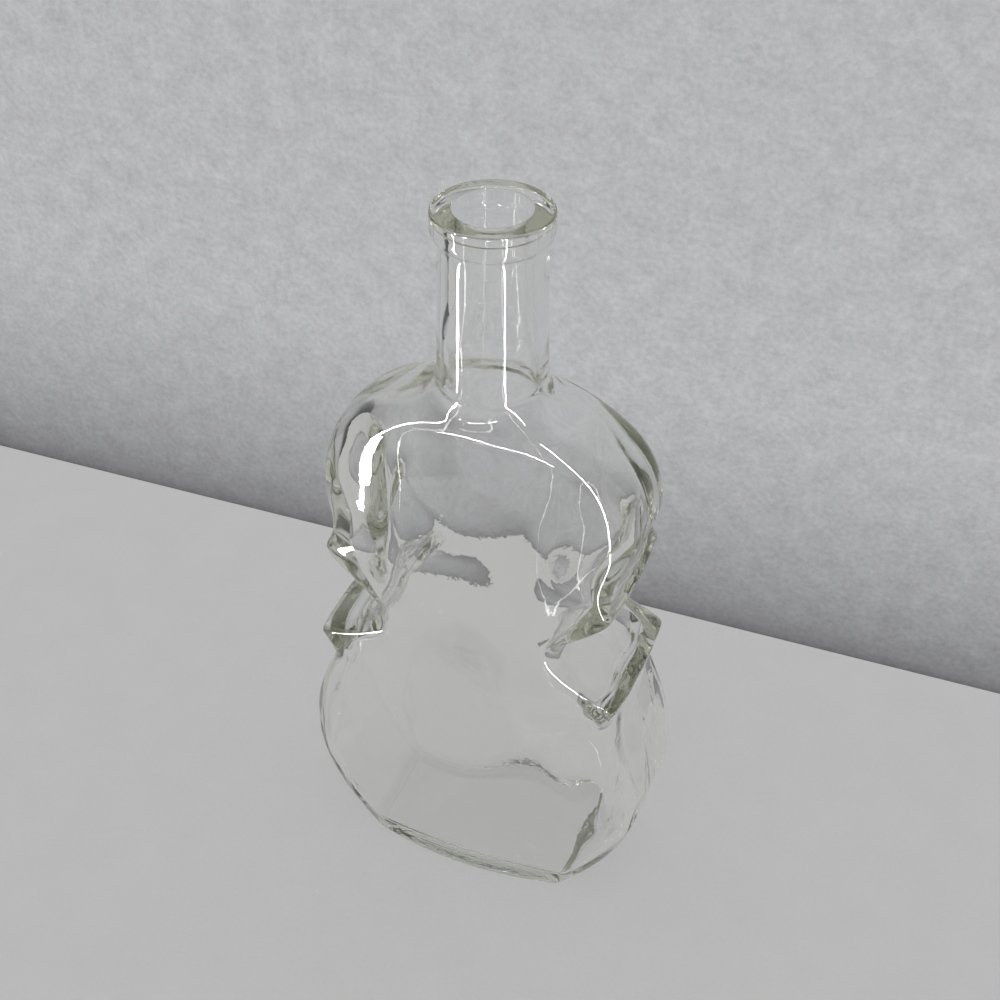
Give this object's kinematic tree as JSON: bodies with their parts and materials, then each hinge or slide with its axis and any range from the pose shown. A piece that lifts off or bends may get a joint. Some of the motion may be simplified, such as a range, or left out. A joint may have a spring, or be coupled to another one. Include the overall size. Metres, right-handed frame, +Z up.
{
  "type": "violin bottle",
  "caption": "Clear glass bottle shaped like a violin body, standing on a flat base, with a round neck and a banded lip for a cork.",
  "frame": {"origin": "on the table, under the neck's axis, at the middle of the base", "axes": "+Z up along the neck, +X along the violin's width, -Y towards the front plate"},
  "size_m": [0.0978, 0.05, 0.2011],
  "materials": {
    "clear_glass": "clear moulded glass, faint green tint where it is thick"
  },
  "bodies": {
    "root": {"glass_bottle": "clear_glass"}
  },
  "joints": []
}
